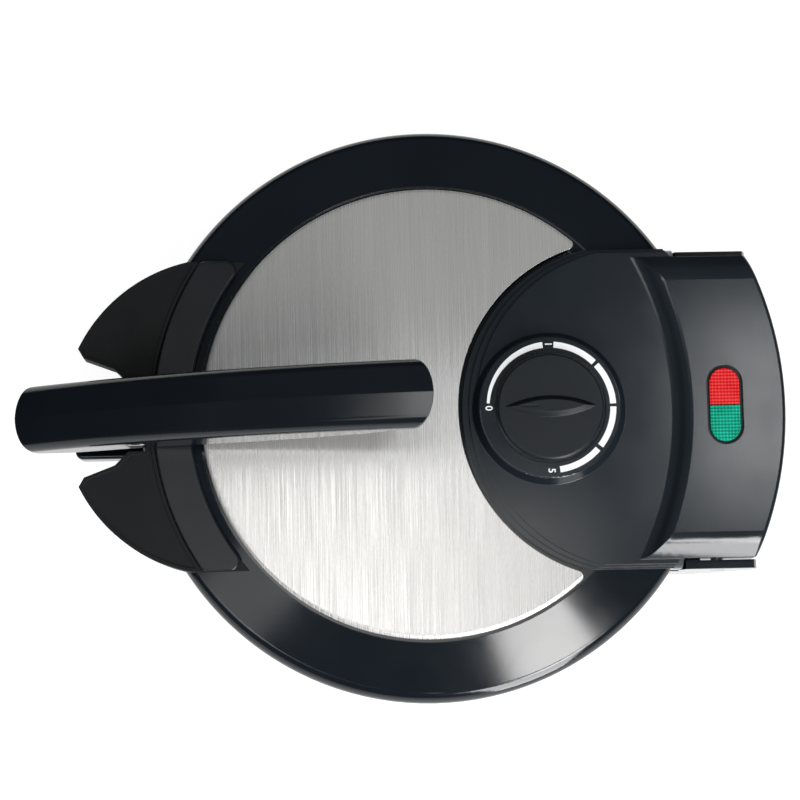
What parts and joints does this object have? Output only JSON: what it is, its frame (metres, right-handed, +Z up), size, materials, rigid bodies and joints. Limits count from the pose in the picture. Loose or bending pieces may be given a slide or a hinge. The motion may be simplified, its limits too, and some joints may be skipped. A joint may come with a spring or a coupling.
{
  "type": "round contact cooker",
  "caption": "Round electric contact cooker: shallow black base and hinged lid with dished cooking plates, steel cover plate, heat dial, pilot lights and an arched lever handle.",
  "frame": {"origin": "on the table under the middle of the overall length and width", "axes": "+Z up, -Y towards the handle at the front, +Y towards the hinge at the rear, +X to the right seen from the front"},
  "size_m": [0.3, 0.398, 0.1524],
  "materials": {
    "body_black": "gloss black",
    "panel_black": "satin gloss black",
    "handle_black": "gloss black",
    "satin_black": "satin black",
    "guard_black": "fine matte texture",
    "matte_black": "matte",
    "knob_black": "satin",
    "foot_rubber": "matte",
    "nonstick_plate": "satin non-stick coating on cast metal",
    "element_steel": "dull",
    "reflector_aluminium": "mill finish",
    "screw_steel": "zinc plated",
    "pin_steel": "ground",
    "cover_steel": "fine straight brushing",
    "white_insulator": "matte",
    "bush_plastic": "smooth",
    "lens_red": "clear tinted with a fine diamond texture",
    "lens_green": "clear tinted with a fine diamond texture",
    "lamp_glass": "clear",
    "thermostat_case": "moulded",
    "nut_brass": "plain"
  },
  "bodies": {
    "base": {"base_shell": "body_black", "base_access_cover": "matte_black", "access_cover_screws": "screw_steel", "rubber_feet": "foot_rubber", "foot_screws": "screw_steel", "base_front_grip": "body_black", "grip_screws": "screw_steel", "lower_cooking_plate": "nonstick_plate", "lower_plate_screws": "screw_steel", "lower_heating_element": "element_steel", "lower_heat_reflector": "reflector_aluminium", "terminal_block": "white_insulator", "thermal_fuse": "white_insulator", "cord_gland": "matte_black", "gland_nut": "matte_black", "hinge_pins": "pin_steel"},
    "lid": {"bracket_screws": "screw_steel", "control_panel": "panel_black", "front_guard": "guard_black", "green_lens": "lens_green", "handle_bracket": "satin_black", "handle_pivot_pin": "pin_steel", "hinge_bushes": "bush_plastic", "hump_cover": "matte_black", "hump_cover_screws": "screw_steel", "lamp_holder": "matte_black", "lid_shell": "body_black", "panel_screws": "screw_steel", "pilot_lamps": "lamp_glass", "red_lens": "lens_red", "steel_cover_plate": "cover_steel", "thermostat_body": "thermostat_case", "thermostat_nut": "nut_brass", "upper_cooking_plate": "nonstick_plate", "upper_heat_reflector": "reflector_aluminium", "upper_heating_element": "element_steel", "upper_plate_screws": "screw_steel"},
    "handle": {"handle_top_shell": "handle_black", "handle_lower_shell": "handle_black", "handle_screws": "screw_steel", "pivot_bushes": "bush_plastic"},
    "knob": {"control_knob": "knob_black", "thermostat_shaft": "pin_steel"}
  },
  "joints": [
    {"name": "lid_hinge", "type": "hinge", "parent": "base", "child": "lid", "pos_m": [0, 0.1645, 0.052], "axis": [-1, 0, 0], "range_deg": [0, 95]},
    {"name": "knob_turn", "type": "hinge", "parent": "lid", "child": "knob", "pos_m": [0, 0.0769, 0.0835], "axis": [0, 0, -1], "range_deg": [0, 270]},
    {"name": "handle_lever", "type": "hinge", "parent": "lid", "child": "handle", "pos_m": [0, -0.1355, 0.09], "axis": [1, 0, 0], "range_deg": [0, 22]}
  ]
}
